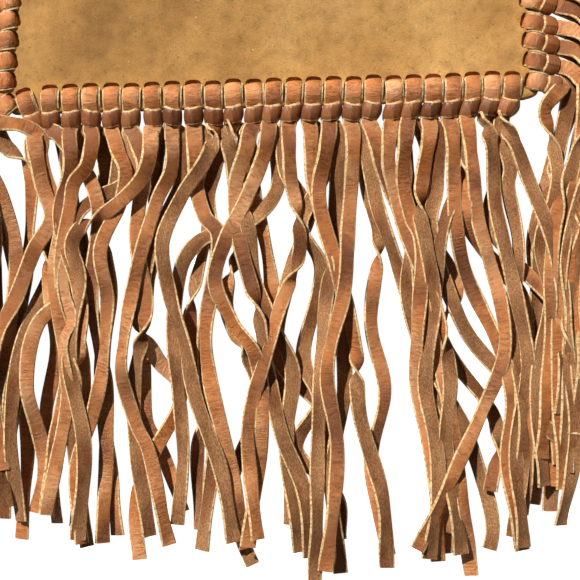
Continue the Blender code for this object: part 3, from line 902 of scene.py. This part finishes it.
# Courses of the tails, in mm on the floor, from just past the ring on, for the upper layer (0) and
# the lower one (1). The second list gives where along it, in mm, a tail turns over, and by how
# many half turns.
COURSES = {
    ("left_thong_01", 0): ([(-122, -93), (-113, -99), (-113, -107), (-111, -118), (-106, -131),
        (-102, -142), (-106, -170), (-100, -210), (-106, -250), (-110, -284)], []),
    ("left_thong_01", 1): ([(-136, -93), (-131, -103), (-121, -112), (-119, -130), (-121, -160),
        (-126, -200), (-121, -250), (-124, -298)], [(30, 1)]),
    ("bottom_thong_01", 0): ([(-116, -100), (-112, -122), (-107, -139), (-116, -155), (-124, -177),
        (-132, -196), (-136, -225), (-131, -262)], []),
    ("bottom_thong_01", 1): ([(-118, -104), (-112, -124), (-107, -147), (-112, -172), (-121, -197),
        (-125, -217), (-127, -248), (-123, -288)], []),
    ("bottom_thong_02", 0): ([(-106, -96), (-100, -103), (-94, -112), (-88, -121), (-84, -140),
        (-88, -180), (-81, -230), (-83, -299)], []),
    ("bottom_thong_02", 1): ([(-104, -98), (-101, -125), (-110, -155), (-106, -200), (-112, -240),
        (-106, -290)], [(70, 1)]),
    ("bottom_thong_03", 0): ([(-99, -97), (-98, -115), (-103, -140), (-92, -185), (-97, -240),
        (-90, -300)], [(120, 1)]),
    ("bottom_thong_03", 1): ([(-95, -98), (-99, -124), (-92, -160), (-100, -205), (-94, -250),
        (-97, -292)], [(50, 1), (140, -1)]),
    ("bottom_thong_04", 0): ([(-88, -97), (-88, -104), (-90, -114), (-96, -122), (-98, -134),
        (-102, -158), (-101, -176), (-97, -188), (-101, -201), (-99, -226), (-104, -255), (-110, -284)],
        []),
    ("bottom_thong_04", 1): ([(-84, -99), (-82, -118), (-86, -130), (-80, -170), (-84, -220),
        (-76, -296)], [(60, 1)]),
    ("bottom_thong_05", 0): ([(-78, -97), (-75, -106), (-71, -116), (-74, -132), (-83, -154), (-80, -178),
        (-81, -202), (-87, -235), (-95, -262), (-92, -298)], []),
    ("bottom_thong_05", 1): ([(-74, -99), (-78, -128), (-85, -158), (-97, -176), (-114, -191),
        (-119, -220), (-112, -258), (-116, -284)], [(72, 1)]),
    ("bottom_thong_06", 0): ([(-68, -96), (-64, -106), (-62, -116), (-66, -145), (-61, -185), (-68, -230),
        (-60, -296)], [(110, -1)]),
    ("bottom_thong_06", 1): ([(-70, -96), (-67, -111), (-73, -122), (-86, -129), (-95, -140), (-99, -165),
        (-92, -220), (-95, -290)], []),
    ("bottom_thong_07", 0): ([(-59, -95), (-59, -108), (-64, -121), (-80, -136), (-92, -143), (-97, -153),
        (-93, -172), (-98, -210), (-91, -250), (-94, -296)], [(64, 1)]),
    ("bottom_thong_07", 1): ([(-56, -98), (-58, -125), (-55, -150), (-61, -171), (-63, -198), (-62, -236),
        (-55, -252), (-43, -284)], [(110, 1)]),
    ("bottom_thong_08", 0): ([(-49, -96), (-49, -114), (-56, -131), (-64, -159), (-70, -188), (-73, -216),
        (-66, -240), (-59, -256), (-50, -300)], []),
    ("bottom_thong_09", 0): ([(-38, -96), (-37, -114), (-36, -126), (-32, -138), (-25, -150), (-31, -188),
        (-30, -216), (-22, -250), (-12, -302)], []),
    ("bottom_thong_10", 0): ([(-27, -98), (-33, -112), (-43, -127), (-51, -143), (-53, -156), (-49, -178),
        (-42, -200), (-37, -226), (-25, -260), (-18, -298)], [(9, 1)]),
    ("bottom_thong_10", 1): ([(-25, -97), (-28, -115), (-31, -130), (-27, -160), (-33, -200), (-28, -250),
        (-34, -303)], []),
    ("bottom_thong_11", 0): ([(-20, -98), (-20, -104), (-18, -116), (-16, -131), (-11, -143), (-8, -169),
        (1, -190), (11, -214), (8, -250), (15, -304)], [(8, 1)]),
    ("bottom_thong_12", 0): ([(-10, -96), (-12, -106), (-17, -124), (-15, -150), (-6, -185), (0, -221),
        (6, -246), (16, -272), (20, -306)], [(95, 1)]),
    ("bottom_thong_13", 0): ([(-1, -96), (-4, -110), (-12, -130), (-22, -150), (-27, -170), (-18, -190),
        (-7, -207), (-4, -240), (-11, -300)], []),
    ("bottom_thong_13", 1): ([(2, -98), (4, -118), (1, -129), (-9, -140), (-22, -145), (-36, -151),
        (-45, -166), (-48, -200), (-43, -250), (-46, -290)], []),
    ("bottom_thong_14", 0): ([(9, -96), (10, -119), (13, -134), (14, -157), (5, -182), (0, -201),
        (-8, -226), (-11, -250), (-6, -296)], [(52, 1), (78, -1)]),
    ("bottom_thong_15", 0): ([(20, -96), (21, -119), (27, -144), (32, -158), (28, -174), (24, -230),
        (22, -318)], [(78, 1)]),
    ("bottom_thong_16", 0): ([(29, -96), (27, -108), (24, -130), (33, -165), (42, -200), (44, -235),
        (55, -275), (58, -312)], [(130, 1)]),
    ("bottom_thong_16", 1): ([(33, -96), (33, -119), (32, -155), (33, -176), (37, -220), (30, -265),
        (35, -315)], []),
    ("bottom_thong_17", 0): ([(41, -98), (40, -122), (38, -148), (36, -176), (28, -215), (33, -255),
        (27, -312)], []),
    ("bottom_thong_17", 1): ([(45, -98), (48, -122), (54, -150), (50, -190), (57, -225), (50, -262),
        (59, -306)], [(70, 1)]),
    ("bottom_thong_18", 0): ([(51, -96), (55, -113), (65, -138), (72, -160), (75, -180), (85, -216),
        (92, -262), (100, -316)], []),
    ("bottom_thong_18", 1): ([(47, -99), (53, -132), (61, -155), (68, -176), (79, -215), (84, -260),
        (90, -305)], []),
    ("bottom_thong_19", 0): ([(59, -96), (58, -111), (61, -124), (68, -150), (80, -180), (88, -215),
        (86, -250), (94, -304)], [(120, -1)]),
    ("bottom_thong_20", 0): ([(67, -96), (65, -119), (69, -138), (74, -155), (72, -215), (80, -262),
        (83, -308)], []),
    ("bottom_thong_21", 0): ([(79, -96), (75, -118), (73, -134), (76, -152), (80, -180), (76, -220),
        (82, -260), (78, -306)], [(48, 1)]),
    ("bottom_thong_21", 1): ([(83, -96), (82, -123), (79, -140), (85, -166), (96, -193), (115, -216),
        (137, -243), (152, -247)], []),
    ("bottom_thong_22", 0): ([(90, -96), (90, -123), (91, -144), (96, -165), (110, -195), (118, -225),
        (116, -260), (124, -302)], []),
    ("bottom_thong_23", 0): ([(98, -95), (100, -123), (102, -141), (108, -161), (113, -181), (115, -201),
        (109, -222), (94, -255), (72, -301)], []),
    ("bottom_thong_24", 0): ([(108, -95), (110, -113), (111, -134), (115, -155), (120, -176), (126, -210),
        (120, -250), (124, -300)], [(8, 1)]),
    ("bottom_thong_25", 0): ([(117, -94), (123, -108), (130, -128), (137, -148), (142, -171), (145, -205),
        (149, -245), (143, -290)], [(8, 1)]),
    ("bottom_thong_25", 1): ([(115, -97), (119, -113), (118, -124), (122, -150), (119, -190), (124, -240),
        (120, -296)], []),
    ("right_thong_01", 0): ([(136, -84), (138, -96), (141, -115), (139, -130), (133, -150), (137, -180),
        (130, -220), (134, -270)], [(35, 1)]),
}


# Courses that are made up, in mm.
HALF_BODY = 136
MIDDLE_FROM, MIDDLE_TO = -50, 90  # x, where the tails are longest
LONGEST_MIDDLE, LONGEST_BESIDE = 232, 218
LENGTH_SPREAD = 36
LAST_TURN = 190
STRAIGHT = 26  # down from the ring before the first bend
LANE_FIRST, LANE_STEP = 149, 3.0  # x of a side tail beside the body, and more for each thong up
LANE_TURN = (35, 65, 88)  # degrees that it has turned at its first points
SIDE_LENGTHS = (208, 230)
SIDE_BENDS = 6


def random_flips(rng, first):
    """Up to two half turns, from a distance in mm along the tail on."""
    return [(rng.uniform(first, LAST_TURN), rng.choice((-1, 1))) for _ in range(rng.choice((0, 1, 1, 2)))]


def drifting_course(hitch, layer, number):
    """A course in mm for a bottom tail that has none of its own: down, with bends where it likes."""
    rng = random.Random(100 + number * 2 + layer)
    x0, y0 = hitch.at(EXIT)[:2] / MM
    lean = x0 / HALF_BODY
    drift = rng.gauss(3, 11) + (14 * lean if lean > 0 else 4 * lean)
    if rng.random() < 0.3:
        drift += rng.choice((-1, 1)) * rng.uniform(12, 30)
    longest = LONGEST_MIDDLE if MIDDLE_FROM < x0 < MIDDLE_TO else LONGEST_BESIDE
    length = rng.uniform(longest - LENGTH_SPREAD, longest)
    beside = rng.choice((-1, 1, 1, 1)) * rng.uniform(3.5, 6) if layer else 0
    points = [(x0 + beside, y0 - 7), (x0 + 1.2 * beside + drift * 0.1, y0 - STRAIGHT)]
    down = STRAIGHT + rng.uniform(16, 34)
    wander = 0.0
    while down < length - 16:
        wander = 0.3 * wander + rng.gauss(0, 7 + 2 * layer)
        points.append((x0 + drift * down / length + wander, y0 - down))
        down += rng.uniform(20, 46)
    points.append((x0 + drift + 0.4 * wander + rng.gauss(0, 3), y0 - length))
    return points, random_flips(rng, 25)


def side_course(hitch, layer, number):
    """A course in mm for a side tail: out, round and down beside the body, then in under its corner."""
    rng = random.Random(500 + number * 2 + layer)
    x0, y0 = hitch.at(EXIT)[:2] / MM
    side = math.copysign(1, hitch.out[0])
    rank = (hitch.hole[1] - SIDE_FIRST) / SIDE_PITCH
    lane = LANE_FIRST + rank * LANE_STEP + rng.uniform(-3, 5)
    radius = max(lane - abs(x0), 4)
    points = []
    for a in LANE_TURN:
        r = math.radians(a)
        points.append((side * (abs(x0) + radius * math.sin(r)), y0 - radius * (1 - math.cos(r)) * 1.3))
    left = rng.uniform(*SIDE_LENGTHS) - radius * 1.7
    y = points[-1][1]
    inward = rng.uniform(8, 26)
    swing = rng.uniform(1.5, 5)
    phase = rng.uniform(0, 6.28)
    for k in range(1, SIDE_BENDS + 1):
        t = k / SIDE_BENDS
        low = float(smooth((-BODY_HEIGHT / (2 * MM) + 10 - (y - left * t)) / 90))
        x = lane - inward * low + swing * (math.sin(phase + 6 * t) - math.sin(phase))
        points.append((side * x, y - left * t))
    return points, random_flips(rng, 20)


def add_rings_to_pile():
    for hitch in HITCHES:
        strip = spline([hitch.at(RING_START - 1 * MM)[:2], hitch.at(EXIT - 5 * MM)[:2]], STATION)
        PILE.top[PILE.cells(strip, np.full(len(strip), RING_HALF))] = RING_HIGH + THICKNESS


def lay_thongs():
    """Lays every tail, lower layers first, and makes one piece for each thong."""
    add_rings_to_pile()
    tails = {hitch.node: [None, None] for hitch in HITCHES}
    order = [(layer, number) for layer in (1, 0) for number in range(len(HITCHES))]
    order.sort(key=lambda item: (-item[0], "bottom" in HITCHES[item[1]].node))
    for layer, number in order:
        hitch = HITCHES[number]
        made = COURSES.get((hitch.node, layer))
        if made is None:
            kind = drifting_course if "bottom" in hitch.node else side_course
            made = kind(hitch, layer, number)
        width = WIDTH * random.Random(number * 7 + layer).uniform(0.98, 1.1)
        tails[hitch.node][layer] = tail_part(hitch, *made, layer, width)
    pieces = []
    for hitch in HITCHES:
        parts = [*tails[hitch.node], ring_part(hitch), leg_part(hitch)]
        piece = build_piece(hitch.node + "_leather", parts, STRIP_MATERIALS)
        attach(piece, "root")
        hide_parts(hitch.node)
        pieces.append(piece)
    return pieces


# ---------------------------------------------------------------- the strap

STRAP_WIDTH = 20 * MM
STRAP_THICKNESS = 2.2 * MM
STRAP_X = 88 * MM
STRAP_SEWN = (-30, -12, 4)  # mm past the mouth, where it lies flat
STRAP_RISE = 175.5 * MM
STRAP_BOW = 60 * MM
STRAP_CLEAR = 0.1 * MM
STRAP_TWIST = (0.08, 12)  # where along its rise it starts to turn on edge, and in how many steps
STRAP_BOW_STEPS = 8
ROLL_SCALE = 0.02  # m for a radian, so that a spline can carry a roll


def strap_route():
    """Points of the strap's middle and its rolls, from the right end to the left one."""
    sewn = BACK_RAISE + PANEL_THICKNESS + STRAP_THICKNESS / 2
    right = [((STRAP_X, TOP_Y + y * MM, sewn), 0.0) for y in STRAP_SEWN]
    first, steps = STRAP_TWIST
    for step in range(steps):
        share = first + (1 - first) * step / (steps - 1)
        roll = math.pi / 2 * float(smooth((share - 0.1) / 0.9))
        x = STRAP_X + (STRAP_BOW - STRAP_X) * float(smooth(share))
        z = (STRAP_WIDTH * math.sin(roll) + STRAP_THICKNESS * math.cos(roll)) / 2
        z += 0.6 * MM * math.sin(2 * roll)
        right.append(((x, TOP_Y + STRAP_RISE * share, z), roll))
    edge_on = STRAP_WIDTH / 2 + STRAP_CLEAR
    for k in range(1, STRAP_BOW_STEPS):
        a = math.pi / 2 * k / STRAP_BOW_STEPS
        y = TOP_Y + STRAP_RISE + STRAP_BOW * math.sin(a)
        right.append(((STRAP_BOW * math.cos(a), y, edge_on), math.pi / 2))
    top = [((0.0, TOP_Y + STRAP_RISE + STRAP_BOW, edge_on), math.pi / 2)]
    left = [((-p[0], p[1], p[2]), math.pi - roll) for p, roll in reversed(right)]
    route = np.array([(*p, roll * ROLL_SCALE) for p, roll in right + top + left])
    dense = spline(route, 2 * MM)
    return dense[:, :3], dense[:, 3] / ROLL_SCALE


def shoulder_strap():
    """Sewn inside the mouth at both ends. It lies flat there, and turns on edge round its bow."""
    points, rolls = strap_route()
    rest = (STRAP_WIDTH * np.abs(np.sin(rolls)) + STRAP_THICKNESS * np.abs(np.cos(rolls))) / 2
    points[:, 2] = np.maximum(points[:, 2], rest + STRAP_CLEAR)
    across, normals = frames(points, rolls)
    part = strip_part(points, across, normals, STRAP_WIDTH, STRAP_THICKNESS, 0.7)
    piece = build_piece("strap_leather", [part], (STRAP_GRAIN, EDGE, FLESH))
    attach(piece, "root")
    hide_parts("shoulder_strap")


# ---------------------------------------------------------------- stage

FLOOR_HALF = 3.0
FLOOR_DROP = 0.05 * MM
KEY_FROM = (-0.6, 0.72, 1.0)
KEY_STRENGTH = 4.3
KEY_ANGLE = math.radians(2)
FILL_STRENGTH = 0.07
VIEW_MIDDLE = (9.75 * MM, -174.0 * MM)
VIEW_SIZE = 290 * MM
LENS = 85.0
SENSOR = 36.0


def stage():
    shape = bmesh.new()
    bmesh.ops.create_grid(shape, x_segments=1, y_segments=1, size=FLOOR_HALF)
    mesh = bpy.data.meshes.new("floor")
    shape.to_mesh(mesh)
    shape.free()
    floor = add_object("floor", mesh)
    floor.location.z = -FLOOR_DROP
    mesh.materials.append(floor_material())


def key_light():
    lamp = bpy.data.lights.new("key", "SUN")
    lamp.energy = KEY_STRENGTH
    lamp.angle = KEY_ANGLE
    lamp.color = (1.0, 0.97, 0.92)
    made = add_object("key", lamp)
    made.rotation_euler = Vector(KEY_FROM).to_track_quat("Z", "Y").to_euler()


def camera():
    """Straight above the fringe, as the photograph was taken."""
    data = bpy.data.cameras.new("camera")
    data.lens = LENS
    data.sensor_width = SENSOR
    data.clip_end = 20
    made = add_object("camera", data)
    made.location = (*VIEW_MIDDLE, VIEW_SIZE * LENS / SENSOR)
    bpy.context.scene.camera = made


def world():
    made = bpy.data.worlds.new("studio")
    made.use_nodes = True
    background = made.node_tree.nodes["Background"]
    background.inputs["Color"].default_value = (0.95, 0.97, 1.0, 1)
    background.inputs["Strength"].default_value = FILL_STRENGTH
    bpy.context.scene.world = made


def main():
    camera()
    world()
    stage()
    key_light()
    bpy.context.scene.view_settings.view_transform = "Standard"
    front = panel("front_suede", front_surface, True)
    back = panel("back_suede", back_surface, False)
    thongs = lay_thongs()
    for piece, node in ((front, "front_panel"), (back, "back_panel")):
        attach(piece, "root")
        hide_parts(node)
    shoulder_strap()


main()
